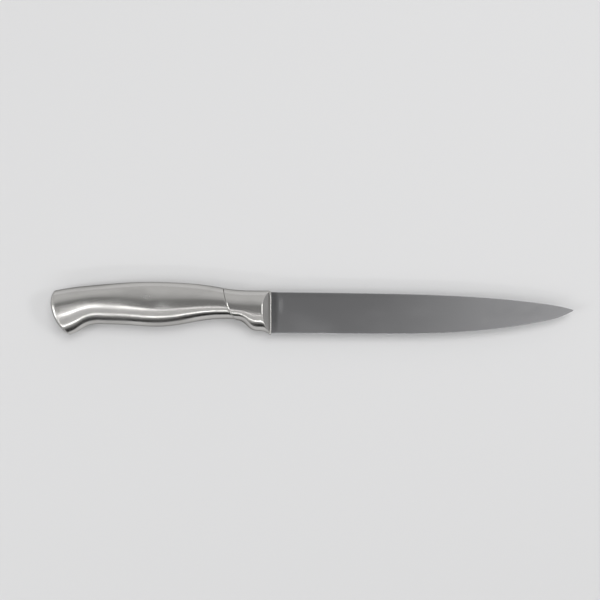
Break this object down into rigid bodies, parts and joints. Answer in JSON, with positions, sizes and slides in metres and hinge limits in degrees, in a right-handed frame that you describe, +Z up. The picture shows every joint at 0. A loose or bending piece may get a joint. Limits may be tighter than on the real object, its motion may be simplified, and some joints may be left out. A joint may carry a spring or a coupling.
{
  "type": "carving knife",
  "caption": "Carving knife with a slim ground blade, a separate bolster and a hollow steel handle that hooks down at the butt.",
  "frame": {"origin": "on the surface that the knife lies on, under the middle of its bounding box", "axes": "+X from the butt to the tip, +Y from the cutting edge to the spine, +Z up out of the knife's right side"},
  "size_m": [0.3444, 0.0347, 0.017],
  "materials": {
    "blade_steel": "fine satin ground blade steel",
    "handle_steel": "satin polished stainless steel, brushed lengthwise",
    "weld_steel": "weld ground flush and polished",
    "tang_resin": "hard filled resin, as poured"
  },
  "bodies": {
    "root": {"blade": "blade_steel", "bolster": "handle_steel", "handle_shell_right": "handle_steel", "handle_shell_left": "handle_steel", "spine_weld": "weld_steel", "belly_weld": "weld_steel", "butt_weld": "weld_steel", "butt_cap": "handle_steel", "tang_resin": "tang_resin"}
  },
  "joints": []
}
